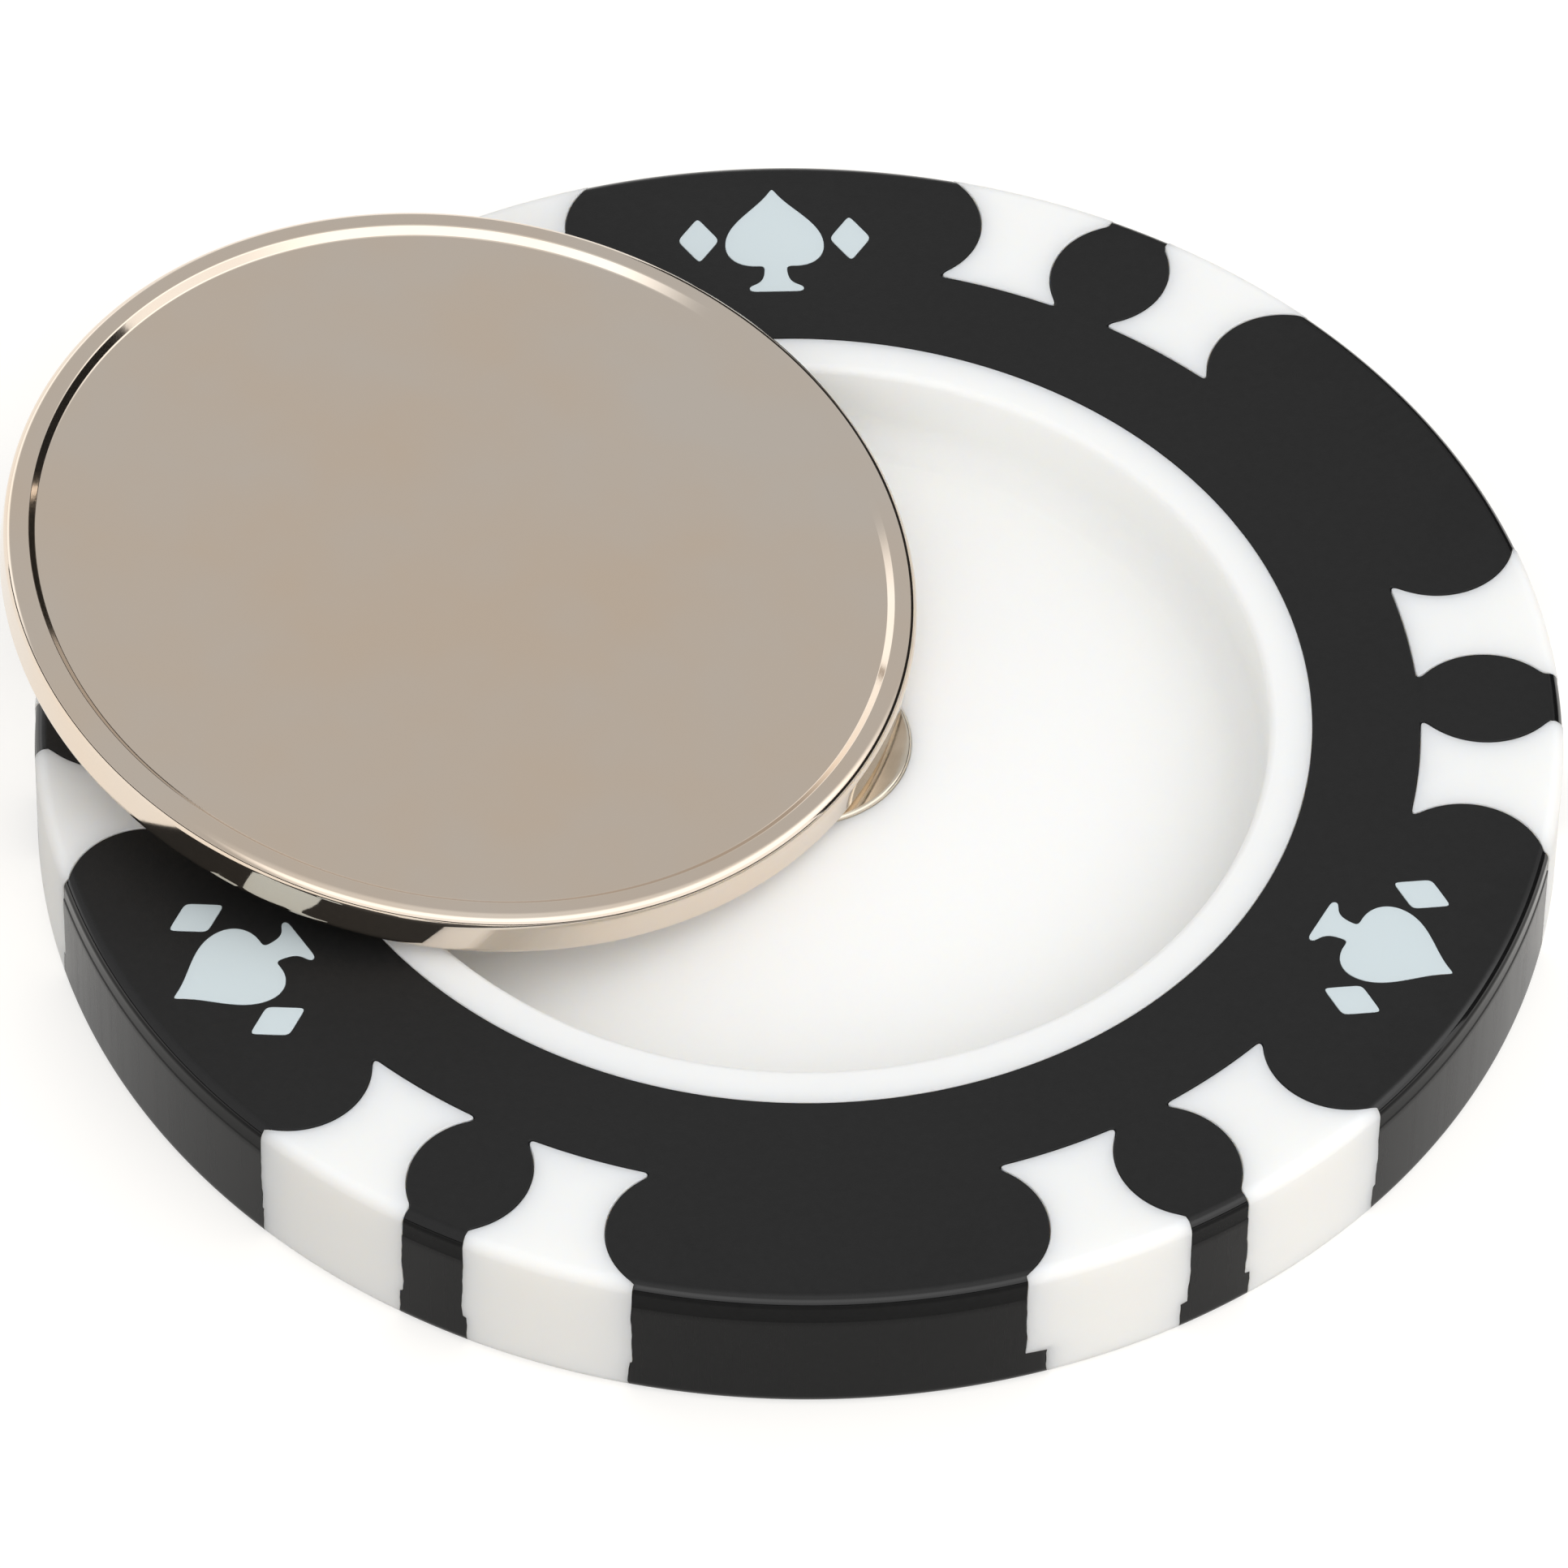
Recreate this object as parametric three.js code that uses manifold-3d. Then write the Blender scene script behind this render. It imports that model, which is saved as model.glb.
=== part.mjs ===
// Poker chip golf ball marker: a two-shot plastic chip with a magnet in a domed recess,
// and a loose steel marker that leans on the recess lip with its low edge on the magnet.
// Millimetres, +Z up. The origin is the centre of the chip's underside; a suit pip lies at +Y.

import * as THREE from 'three';
import { mergeVertices } from 'three/addons/utils/BufferGeometryUtils.js';
import Module from 'manifold-3d';

const wasm = await Module();
wasm.setup();

// Chip blank
const CHIP_RADIUS = 20.0;
const CHIP_THICKNESS = 4.1;
const EDGE_ROUND = 0.35; // radius on both rims of the chip

// White centre: a dish with a flush ring, a steep wall and a domed floor
const BAND_WIDTH = 6.57; // black band, from the rim to the white ring
const RING_WIDTH = 1.14; // white ring, from the band to the recess
const RECESS_DEPTH = 2.63; // at the wall, without the rounding of its foot
const FOOT_ROUND = 0.8; // between the wall and the floor
const LIP_ROUND = 0.2;
const FLOOR_RISE = 1.5; // how far the domed floor rises to its middle

// White web that ties the dish to the edge spots inside the black band
const WEB_COVER = 1.4; // black plastic between the web's edge and the rim
const WEB_THICKNESS = 1.3;

// White edge spots: hourglass inlays in pairs round the rim
const PAIR_COUNT = 6;
const SPOT_BEARING = THREE.MathUtils.degToRad(8.465); // from the middle of a pair to each spot
const SPOT_LENGTH = 3.75; // from the rim to the inner end
const SPOT_INNER_HALF = 1.5; // half width of the inner end, between its blunt corners
const WAIST_INSET = 2.3; // of the waist from the rim
const WAIST_HALF = 1.08;
const WAIST_ARC = 2.15; // radius of the hollow sides
const RIM_HALF_IN_PAIR = 2.07; // half width at the rim, on the side of the pair's partner
const RIM_HALF_OUTSIDE = 2.45; // half width at the rim, on the other side
const CORNER_SETBACK = 0.14; // blunts the inner corners
const PARTING_HEIGHT = 1.15; // mould parting line on the edge
const PARTING_STEP = 0.18; // the spots are this much narrower below the parting line

// White suit pips in every second gap between the pairs
const PIP_COUNT = 3;
const PIP_INSET = 2.9; // of a pip's middle from the rim
const SPADE_LENGTH = 3.9;
const SPADE_WIDTH = 2.7;
const DIAMOND_LENGTH = 1.7;
const DIAMOND_WIDTH = 1.15;
const DIAMOND_OFFSET = 2.05; // sideways, from the spade's middle line

const SHOT_GAP = 0.03; // shrinkage gap between the white and the black plastic

// Magnet, let into the middle of the floor
const MAGNET_RADIUS = 2.95;
const MAGNET_THICKNESS = 1.5;
const MAGNET_ROUND = 0.12;
const MAGNET_PROUD = 0.03; // above the top of the dome
const POCKET_GAP = 0.05;

// Steel marker with a raised rim
const MARKER_FIT = 0.21; // play round the marker when it lies in the recess
const MARKER_THICKNESS = 1.5;
const MARKER_ROUND = 0.36;
const RIM_WIDTH = 0.62; // from the edge to the top of the rim's inner slope
const RIM_HEIGHT = 0.21; // above the struck face
const RIM_SLOPE_RUN = 0.21;

// Resting place of the marker
const LOW_EDGE_REACH = 2.44; // of its low edge past the chip's axis, over the magnet
const MARKER_BEARING = THREE.MathUtils.degToRad(157.4);
const LEAN_TURN = THREE.MathUtils.degToRad(1.6); // from its bearing to its highest point
const REST_GAP = 0.06; // to the lip and to the magnet

// Fineness of round forms
const ROUND_SEGMENTS = 64;
const SMALL_ROUND_SEGMENTS = 36;
const FILLET_STEPS = 3;
const FLOOR_STEPS = 6;
const SPOT_SEGMENTS = 3; // for each curve of a spot's outline, twice that for an arc
const PIP_SEGMENTS = 4; // for each curve of a pip's outline
const OVERSHOOT = 1.0; // cutters run this far past the faces that they cut

// Derived radii and heights
const ringRadius = CHIP_RADIUS - BAND_WIDTH;
const recessRadius = ringRadius - RING_WIDTH;
const markerRadius = recessRadius - MARKER_FIT;
const markerOffset = markerRadius - LOW_EDGE_REACH; // of the marker's centre from the chip's axis
const webRadius = CHIP_RADIUS - WEB_COVER;
const spotInnerRadius = CHIP_RADIUS - SPOT_LENGTH;
const waistRadius = CHIP_RADIUS - WAIST_INSET;
const pipRadius = CHIP_RADIUS - PIP_INSET;
const webLow = (CHIP_THICKNESS - WEB_THICKNESS) / 2;
const webHigh = (CHIP_THICKNESS + WEB_THICKNESS) / 2;
const floorFoot = CHIP_THICKNESS - RECESS_DEPTH;
const magnetTop = floorFoot + FLOOR_RISE + MAGNET_PROUD;
const magnetBottom = magnetTop - MAGNET_THICKNESS;

const whitePlastic = new THREE.MeshStandardMaterial({ color: 0xf4f4ee, roughness: 0.35, metalness: 0 });
const blackPlastic = new THREE.MeshStandardMaterial({ color: 0x2e2e2e, roughness: 0.5, metalness: 0 });
const magnetPlating = new THREE.MeshStandardMaterial({ color: 0xb0a898, roughness: 0.2, metalness: 1 });
const markerPlating = new THREE.MeshStandardMaterial({ color: 0xb5aa9b, roughness: 0.25, metalness: 1 });

// Solids and outlines

function solidFrom(geometry) {
  const bare = geometry.clone();
  bare.deleteAttribute('normal');
  bare.deleteAttribute('uv');
  const merged = mergeVertices(bare, 1e-4);
  return new wasm.Manifold(new wasm.Mesh({
    numProp: 3,
    vertProperties: new Float32Array(merged.attributes.position.array),
    triVerts: new Uint32Array(merged.index.array),
  }));
}

function geometryFrom(solid) {
  const { vertProperties, triVerts } = solid.getMesh();
  const geometry = new THREE.BufferGeometry();
  geometry.setAttribute('position', new THREE.BufferAttribute(vertProperties, 3));
  geometry.setIndex(new THREE.BufferAttribute(triVerts, 1));
  geometry.computeVertexNormals();
  return geometry;
}

// A profile of (radius, height) points, turned round the Z axis. It runs up the outside.
function turned(profile, segments) {
  return new THREE.LatheGeometry(profile, segments).rotateX(Math.PI / 2);
}

function disc(radius, low, high, segments) {
  const profile = [[0, low], [radius, low], [radius, high], [0, high]];
  return solidFrom(turned(profile.map(([r, z]) => new THREE.Vector2(r, z)), segments));
}

// Points of an arc round (centreRadius, centreHeight), from one angle to another
function filletPoints(centreRadius, centreHeight, radius, from, to) {
  const points = [];
  for (let i = 0; i <= FILLET_STEPS; i += 1) {
    const angle = from + ((to - from) * i) / FILLET_STEPS;
    points.push(new THREE.Vector2(
      centreRadius + radius * Math.cos(angle),
      centreHeight + radius * Math.sin(angle),
    ));
  }
  return points;
}

// Profile of a flat disc with rounded rims, from the axis round to the axis
function roundedDiscProfile(radius, low, high, round) {
  return [
    new THREE.Vector2(0, low),
    ...filletPoints(radius - round, low + round, round, -Math.PI / 2, 0),
    ...filletPoints(radius - round, high - round, round, 0, Math.PI / 2),
    new THREE.Vector2(0, high),
  ];
}

// A closed outline, anticlockwise and with each point once
function outlineOf(shape, segments) {
  const points = shape.getPoints(segments);
  const distinct = points.filter((p, i) => p.distanceTo(points[(i + 1) % points.length]) > 1e-6);
  return THREE.ShapeUtils.isClockWise(distinct) ? distinct.reverse() : distinct;
}

// The outline moved outwards by a small distance
function grown(outline, distance) {
  const count = outline.length;
  return outline.map((point, i) => {
    const before = point.clone().sub(outline[(i + count - 1) % count]).normalize();
    const after = outline[(i + 1) % count].clone().sub(point).normalize();
    const normal = new THREE.Vector2(before.y + after.y, -before.x - after.x).normalize();
    const spread = normal.x * after.y - normal.y * after.x;
    return point.clone().addScaledVector(normal, distance / spread);
  });
}

function prism(outline, low, high, bearing) {
  const options = { depth: high - low, bevelEnabled: false };
  const geometry = new THREE.ExtrudeGeometry(new THREE.Shape(outline), options);
  return solidFrom(geometry.translate(0, 0, low).rotateZ(bearing));
}

// Edge spot, with its axis along +X and its rim end open past the rim. It is grown by a distance
// on every side; a negative one makes it narrower.
function spotOutline(lowSideHalf, highSideHalf, growth) {
  const hollowCentre = WAIST_HALF + WAIST_ARC;
  const hollowRadius = WAIST_ARC - growth;
  const innerRadius = spotInnerRadius - growth;
  const innerAngle = Math.asin((SPOT_INNER_HALF + growth) / innerRadius);
  const startAngle = Math.acos((innerRadius + CORNER_SETBACK - waistRadius) / hollowRadius);
  const rimAngle = (half) => Math.asin((hollowCentre - half - growth) / hollowRadius);
  const reach = CHIP_RADIUS + OVERSHOOT;
  const shape = new THREE.Shape();
  shape.absarc(0, 0, innerRadius, innerAngle, -innerAngle, true);
  shape.absarc(waistRadius, -hollowCentre, hollowRadius, startAngle, rimAngle(lowSideHalf), true);
  shape.lineTo(reach, -lowSideHalf - growth);
  shape.lineTo(reach, highSideHalf + growth);
  shape.absarc(waistRadius, hollowCentre, hollowRadius, -rimAngle(highSideHalf), -startAngle, true);
  return outlineOf(shape, SPOT_SEGMENTS);
}

// Spade with its point along +X, about its own middle
function spadeOutline() {
  const tip = SPADE_LENGTH / 2;
  const side = SPADE_WIDTH / 2;
  const stem = side * 0.22;
  const notch = -tip * 0.5;
  const foot = -tip * 0.9;
  const shape = new THREE.Shape();
  shape.moveTo(tip, 0);
  shape.bezierCurveTo(tip * 0.6, side * 0.25, tip * 0.35, side, -tip * 0.12, side);
  shape.bezierCurveTo(-tip * 0.42, side, -tip * 0.57, side * 0.62, notch, stem);
  shape.quadraticCurveTo(-tip * 0.82, side * 0.26, foot, side * 0.56);
  shape.lineTo(-tip, side * 0.56);
  shape.lineTo(-tip, -side * 0.56);
  shape.lineTo(foot, -side * 0.56);
  shape.quadraticCurveTo(-tip * 0.82, -side * 0.26, notch, -stem);
  shape.bezierCurveTo(-tip * 0.57, -side * 0.62, -tip * 0.42, -side, -tip * 0.12, -side);
  shape.bezierCurveTo(tip * 0.35, -side, tip * 0.6, -side * 0.25, tip, 0);
  return outlineOf(shape, PIP_SEGMENTS);
}

// Diamond about its own middle
function diamondOutline() {
  return [
    new THREE.Vector2(DIAMOND_LENGTH / 2, 0),
    new THREE.Vector2(0, DIAMOND_WIDTH / 2),
    new THREE.Vector2(-DIAMOND_LENGTH / 2, 0),
    new THREE.Vector2(0, -DIAMOND_WIDTH / 2),
  ];
}

function shifted(outline, along, across) {
  return outline.map((point) => new THREE.Vector2(point.x + along, point.y + across));
}

// White columns that reach the chip's faces and edge, grown by a gap on every side
function columns(gap) {
  const parts = [];
  const top = CHIP_THICKNESS + OVERSHOOT;
  for (let pair = 0; pair < PAIR_COUNT; pair += 1) {
    const middle = (pair * 2 * Math.PI) / PAIR_COUNT;
    for (const side of [1, -1]) {
      const halves = side > 0 ? [RIM_HALF_IN_PAIR, RIM_HALF_OUTSIDE] : [RIM_HALF_OUTSIDE, RIM_HALF_IN_PAIR];
      const bearing = middle + side * SPOT_BEARING;
      parts.push(prism(spotOutline(...halves, gap), PARTING_HEIGHT - gap, top, bearing));
      parts.push(prism(spotOutline(...halves, gap - PARTING_STEP), -OVERSHOOT, PARTING_HEIGHT, bearing));
    }
  }
  const pips = [
    shifted(spadeOutline(), pipRadius, 0),
    shifted(diamondOutline(), pipRadius, DIAMOND_OFFSET),
    shifted(diamondOutline(), pipRadius, -DIAMOND_OFFSET),
  ];
  for (let sector = 0; sector < PIP_COUNT; sector += 1) {
    const bearing = Math.PI / 2 + (sector * 2 * Math.PI) / PIP_COUNT;
    pips.forEach((outline) => parts.push(prism(grown(outline, gap), -OVERSHOOT, top, bearing)));
  }
  return parts.reduce((whole, part) => whole.add(part));
}

// Everything that the first shot fills, before the recess is taken out
function firstShot(gap) {
  const dish = disc(ringRadius + gap, -OVERSHOOT, CHIP_THICKNESS + OVERSHOOT, ROUND_SEGMENTS);
  const web = disc(webRadius + gap, webLow - gap, webHigh + gap, ROUND_SEGMENTS);
  return dish.add(web).add(columns(gap));
}

function chipBlank() {
  const profile = roundedDiscProfile(CHIP_RADIUS, 0, CHIP_THICKNESS, EDGE_ROUND);
  return solidFrom(turned(profile, ROUND_SEGMENTS));
}

// Space of the recess: domed floor, rounded foot, steep wall, rounded lip
function recess() {
  const domeRadius = (recessRadius ** 2 + FLOOR_RISE ** 2) / (2 * FLOOR_RISE);
  const domeCentre = floorFoot + FLOOR_RISE - domeRadius;
  const footRadius = recessRadius - FOOT_ROUND;
  const footAngle = Math.asin(footRadius / (domeRadius + FOOT_ROUND));
  const footHeight = domeCentre + (domeRadius + FOOT_ROUND) * Math.cos(footAngle);
  const floorRadius = domeRadius * Math.sin(footAngle);
  const profile = [];
  for (let i = 0; i < FLOOR_STEPS; i += 1) {
    const radius = (floorRadius * i) / FLOOR_STEPS;
    profile.push(new THREE.Vector2(radius, domeCentre + Math.sqrt(domeRadius ** 2 - radius ** 2)));
  }
  profile.push(...filletPoints(footRadius, footHeight, FOOT_ROUND, -Math.PI / 2 - footAngle, 0));
  const lipRadius = recessRadius + LIP_ROUND;
  profile.push(...filletPoints(lipRadius, CHIP_THICKNESS - LIP_ROUND, LIP_ROUND, Math.PI, Math.PI / 2));
  profile.push(new THREE.Vector2(lipRadius, CHIP_THICKNESS + OVERSHOOT));
  profile.push(new THREE.Vector2(0, CHIP_THICKNESS + OVERSHOOT));
  return solidFrom(turned(profile, ROUND_SEGMENTS));
}

// Sub-parts

function makeCore() {
  const pocketRadius = MAGNET_RADIUS + POCKET_GAP;
  const pocketFloor = magnetBottom - POCKET_GAP;
  const pocket = disc(pocketRadius, pocketFloor, CHIP_THICKNESS + OVERSHOOT, SMALL_ROUND_SEGMENTS);
  const solid = chipBlank().intersect(firstShot(0)).subtract(recess()).subtract(pocket);
  const mesh = new THREE.Mesh(geometryFrom(solid), whitePlastic);
  mesh.name = 'white_core';
  return mesh;
}

function makeOvermould() {
  const mesh = new THREE.Mesh(geometryFrom(chipBlank().subtract(firstShot(SHOT_GAP))), blackPlastic);
  mesh.name = 'black_overmould';
  return mesh;
}

function makeMagnet() {
  const profile = roundedDiscProfile(MAGNET_RADIUS, magnetBottom, magnetTop, MAGNET_ROUND);
  const mesh = new THREE.Mesh(turned(profile, SMALL_ROUND_SEGMENTS), magnetPlating);
  mesh.name = 'disc_magnet';
  return mesh;
}

// Marker about the middle of its underside
function makeMarker() {
  const face = MARKER_THICKNESS - RIM_HEIGHT;
  const rimInner = markerRadius - RIM_WIDTH;
  const profile = roundedDiscProfile(markerRadius, 0, MARKER_THICKNESS, MARKER_ROUND);
  profile.pop();
  profile.push(new THREE.Vector2(rimInner, MARKER_THICKNESS));
  profile.push(new THREE.Vector2(rimInner - RIM_SLOPE_RUN, face));
  profile.push(new THREE.Vector2(0, face));
  const mesh = new THREE.Mesh(turned(profile, ROUND_SEGMENTS), markerPlating);
  mesh.name = 'steel_marker';
  return mesh;
}

// The marker lies across the lip where its edge crosses it, and its low edge lies on the magnet.
function leanMarker(marker) {
  const crossing = (markerOffset ** 2 + recessRadius ** 2 - markerRadius ** 2) / (2 * markerOffset);
  const toCrossing = markerOffset - crossing;
  const magnetDepth = CHIP_THICKNESS - magnetTop;
  const lean = Math.asin(magnetDepth / (markerRadius - toCrossing));
  marker.position.set(markerOffset, 0, CHIP_THICKNESS + REST_GAP + toCrossing * Math.tan(lean));
  marker.rotation.set(0, -lean, LEAN_TURN, 'ZYX');
  const place = new THREE.Group();
  place.rotation.z = MARKER_BEARING;
  place.add(marker);
  return place;
}

const chipMarker = new THREE.Group();
chipMarker.add(makeCore(), makeOvermould(), makeMagnet(), leanMarker(makeMarker()));

export default chipMarker;
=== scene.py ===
import math
import random

import bpy
from mathutils import Matrix, Vector
from mathutils.geometry import delaunay_2d_cdt


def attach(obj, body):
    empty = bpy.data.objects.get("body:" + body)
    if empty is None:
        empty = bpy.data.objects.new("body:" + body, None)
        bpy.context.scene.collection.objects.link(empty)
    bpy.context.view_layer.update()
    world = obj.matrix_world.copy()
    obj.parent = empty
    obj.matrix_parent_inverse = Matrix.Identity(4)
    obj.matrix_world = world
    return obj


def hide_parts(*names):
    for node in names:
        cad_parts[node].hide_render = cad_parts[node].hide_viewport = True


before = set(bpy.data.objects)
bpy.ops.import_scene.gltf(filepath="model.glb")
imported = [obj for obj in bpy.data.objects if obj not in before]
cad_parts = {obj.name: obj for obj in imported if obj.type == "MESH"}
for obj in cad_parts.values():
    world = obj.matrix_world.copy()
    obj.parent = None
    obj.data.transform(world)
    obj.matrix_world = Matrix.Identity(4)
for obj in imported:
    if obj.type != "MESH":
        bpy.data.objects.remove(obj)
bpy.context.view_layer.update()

MM = 0.001

# Chip, in millimetres
CHIP_RADIUS = 20.0
CHIP_THICKNESS = 4.1
EDGE_ROUND = 0.35
RING_RADIUS = 13.43
RECESS_RADIUS = 12.29
RECESS_DEPTH = 2.63
LIP_ROUND = 0.2
FLOOR_RISE = 1.5
FOOT_ROUND = 0.8
WEB_RADIUS = 18.6
WEB_LOW = 1.4
WEB_HIGH = 2.7
SEAM_GAP = 0.02
SEAM_ROUND = 0.025
BAND_STEP = 0.025  # the glossy band under the black rim is set back by this much
BAND_HEIGHT = 0.45
BAND_SHOULDER = 0.03  # height of the slant at the band's lower edge

# Edge spots
PAIR_COUNT = 6
SPOT_BEARING = math.radians(8.465)  # from the middle of a pair to each spot
SPOT_INNER_RADIUS = 16.25
SPOT_INNER_HALF = 1.62
WAIST_RADIUS = 17.7
WAIST_HALF = 1.08
WAIST_ARC = 2.15
RIM_HALF_IN_PAIR = 2.07
RIM_HALF_OUTSIDE = 2.45
RIM_OVERSHOOT = 1.0  # a border starts this far outside the rim
SIDE_STOP = 0.05  # a hollow side stops this far outside the inner end
PARTING_HEIGHT = 1.12
PARTING_DROP = 0.04
LEAST_PARTING_STEP = 0.05
PARTING_STEP_SPREAD = 0.3
BROAD_STEP_SPOT = 10
BROAD_PARTING_STEPS = (0.45, 0.2)
SEAM_WAVES = ((0.022, 2.1), (0.012, 5.3), (0.006, 13.0))  # size, and radians for each millimetre of height
STRAIGHT_SEAM = 0.5  # the seams run straight this near to the top
SEAM_FADE = 1.0
SEAM_SEED = 8

# Suit pips
PIP_COUNT = 3
PIP_RADIUS = 17.1
SPADE_LENGTH = 3.9
SPADE_WIDTH = 2.7
DIAMOND_LENGTH = 1.7
DIAMOND_WIDTH = 1.15
DIAMOND_OFFSET = 2.05
PIP_ROUND = 0.01
PIP_GAP = 0.012
PIP_LEVELS = (  # height, and how far the outline is rounded back there
    (0.0, PIP_ROUND),
    (PIP_ROUND, 0.0),
    (CHIP_THICKNESS - PIP_ROUND, 0.0),
    (CHIP_THICKNESS, PIP_ROUND),
)
PIP_ZONE = (14.9, 19.3)  # radii between which the pips lie
PIP_ZONE_HALF = math.radians(11.5)
WEB_MARGIN = 0.01

# Magnet and marker
MAGNET_RADIUS = 2.95
MAGNET_THICKNESS = 1.5
MAGNET_ROUND = 0.12
MAGNET_PROUD = 0.03
MAGNET_TOP = CHIP_THICKNESS - RECESS_DEPTH + FLOOR_RISE + MAGNET_PROUD
POCKET_GAP = 0.008
POCKET_LIP = 0.015
MARKER_RADIUS = 12.08
MARKER_THICKNESS = 1.5
MARKER_ROUND = 0.36
RIM_WIDTH = 0.62
RIM_HEIGHT = 0.21
RIM_SLOPE_RUN = 0.21
SLOPE_TOP_ROUND = 0.09
SLOPE_FOOT_ROUND = 0.1
MARKER_OFFSET = 9.64
MARKER_BEARING = math.radians(157.4)
LEAN_TURN = math.radians(1.6)
REST_GAP = 0.06

# Fineness
TURN_SEGMENTS = 288
MAGNET_SEGMENTS = 128
FILLET_STEPS = 10
FOOT_STEPS = 14
FLOOR_STEPS = 29
SLOPE_TOP_STEPS = 5
SLOPE_FOOT_STEPS = 6
UNDERSIDE_RINGS = (4, 9)  # radii of rings that divide a large flat face
MAGNET_RING = 1.5
MARKER_BACK_RING = 6
MARKER_FACE_RINGS = (9, 6, 3)
LOW_SIDE_LEVELS = (0.5, 0.65, 0.8, 0.95)
HIGH_SIDE_LEVELS = (1.3, 1.5, 1.7, 1.9, 2.1, 2.3, 2.5, 2.7, 2.9, 3.1)
SPOT_POINTS = 140
SPOT_SOFTENING = 3
HOLLOW_STEPS = 48
INNER_END_STEPS = 24
RIM_SPACING = 0.16
PAIR_GAP_POINTS = 16
SECTOR_GAP_POINTS = 66
PAIR_GAP_LIMIT = math.radians(20)
SHOULDER_STEPS = 24
CHEEK_STEPS = 16
STEM_STEPS = 12
PIP_SPACING = 0.05
PIP_SOFTENING = 10
SHARP_ANGLE = math.radians(40)

# Tolerances
ON_AXIS = 1e-6
SAME_HEIGHT = 1e-4
ON_FACE = 1e-3
SAME_POINT = 1e-7

# Colours, as linear red, green and blue
SPOT_WHITE = (0.905, 0.907, 0.89)
# Painted light: the dish is painted lighter and creamier than the spots, standing in for light in the recess.
DISH_WHITE_WITH_PAINTED_LIGHT = (0.965, 0.962, 0.93)
# Painted shade: the white on the chip's edge is painted darker and warmer, for the shade on its sides.
EDGE_WHITE_PAINTED_SHADE = (0.89, 0.875, 0.842)
PIP_WHITE = (0.63, 0.71, 0.735)
BLACK_LOW = (0.004, 0.004, 0.004)
BLACK_HIGH = (0.009, 0.009, 0.0092)
MAGNET_LIGHT = (0.78, 0.7, 0.585)
MAGNET_DARK = (0.7, 0.625, 0.515)
MARKER_LIGHT = (0.75, 0.67, 0.585)
MARKER_DARK = (0.775, 0.64, 0.51)
FLOOR_COLOR = (0.47, 0.452, 0.42)
WALL_COLOR = (0.03, 0.03, 0.03)
PURE_WHITE = (1.0, 1.0, 1.0)

# Stage, in millimetres and degrees
FLOOR_REACH = 6000.0
FLOOR_GLOW = 0.63  # brings the floor up to white where it is seen or mirrored
STAGE_ROUGHNESS = 0.9
FLOOR_SHINE = 0.1
WALL_STEP = 4.0
LOW_WALL = (152.0, 352.0, 110.0, 13.0)  # first and last bearing, radius, height
RIGHT_WALL = (352.0, 440.0, 63.0, 25.0)

# Light levels of the world
SKY_LEVEL = 0.6
SOFTBOX_LEVEL = 1.66
SOFTBOX_AXIS = (0.6, -0.76, 0.4)
SOFTBOX_EDGE = (0.27, 0.62)
MIRRORED_LOW_LEVEL = 1.25
MIRRORED_LOW_EDGE = (0.38, 0.5)
MIRRORED_OVERHEAD_LEVEL = 0.85
MIRRORED_OVERHEAD_EDGE = (0.7, 0.85)
PANEL_LEVEL = 1.4
PANEL_AXIS = (-0.65, 0.75, 0.0)
PANEL_SIDE_EDGE = (0.78, 0.9)
PANEL_TOP_EDGE = (0.28, 0.45)
HORIZON_LEVEL = 1.0
HORIZON_EDGE = (0.05, 0.15)

# Camera, fitted to the outline of the chip in the photograph
CAMERA_ELEVATION = math.radians(48.440)
CAMERA_TURN = math.radians(3.2887)
CAMERA_ROLL = math.radians(1.3791)
CAMERA_DISTANCE = 341.790
CAMERA_SIDE = -0.40894
CAMERA_LIFT = -1.92689
CAMERA_LENS = 300.05
SENSOR_WIDTH = 36.0
CLIP_START = 0.01
CLIP_END = 50.0


# Mesh helpers

def turned(profile, segments=TURN_SEGMENTS):
    """Vertices and faces of a profile of (radius, height) turned round Z; it runs up the outside."""
    verts = []
    rings = []
    for radius, height in profile:
        if radius < ON_AXIS:
            rings.append([len(verts)] * segments)
            verts.append((0.0, 0.0, height))
            continue
        rings.append(range(len(verts), len(verts) + segments))
        verts.extend(circle(radius, height, segments))
    faces = []
    for low, high in zip(rings, rings[1:]):
        for j in range(segments):
            k = (j + 1) % segments
            corners = [low[j], low[k], high[k], high[j]]
            face = [c for i, c in enumerate(corners) if c != corners[i - 1]]
            if len(face) > 2:
                faces.append(face)
    return verts, faces


def circle(radius, height, segments=TURN_SEGMENTS):
    points = []
    for j in range(segments):
        angle = 2 * math.pi * j / segments
        points.append((radius * math.cos(angle), radius * math.sin(angle), height))
    return points


def fillet(centre_radius, centre_height, radius, start, end, steps=FILLET_STEPS):
    """Points of a profile on an arc between two angles in degrees."""
    points = []
    for i in range(steps + 1):
        angle = math.radians(start + (end - start) * i / steps)
        points.append((centre_radius + radius * math.cos(angle), centre_height + radius * math.sin(angle)))
    return points


def lofted(stacks):
    """A solid with flat ends from stacks of loops. The first stack is the outside, the others are holes.
    A stack is a list of loops from the bottom to the top, with the same number of points in each."""
    verts = []
    faces = []
    low_loops = []
    high_loops = []
    for number, stack in enumerate(stacks):
        rings = []
        for loop in stack:
            ordered = loop if number == 0 else loop[::-1]
            rings.append(range(len(verts), len(verts) + len(ordered)))
            verts.extend(ordered)
        for low, high in zip(rings, rings[1:]):
            count = len(low)
            for j in range(count):
                k = (j + 1) % count
                faces.append([low[j], low[k], high[k], high[j]])
        low_loops.append(list(rings[0]))
        high_loops.append(list(rings[-1]))
    for loops, upward in ((low_loops, False), (high_loops, True)):
        faces.extend(flat_cap(verts, loops, upward))
    return verts, faces


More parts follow.
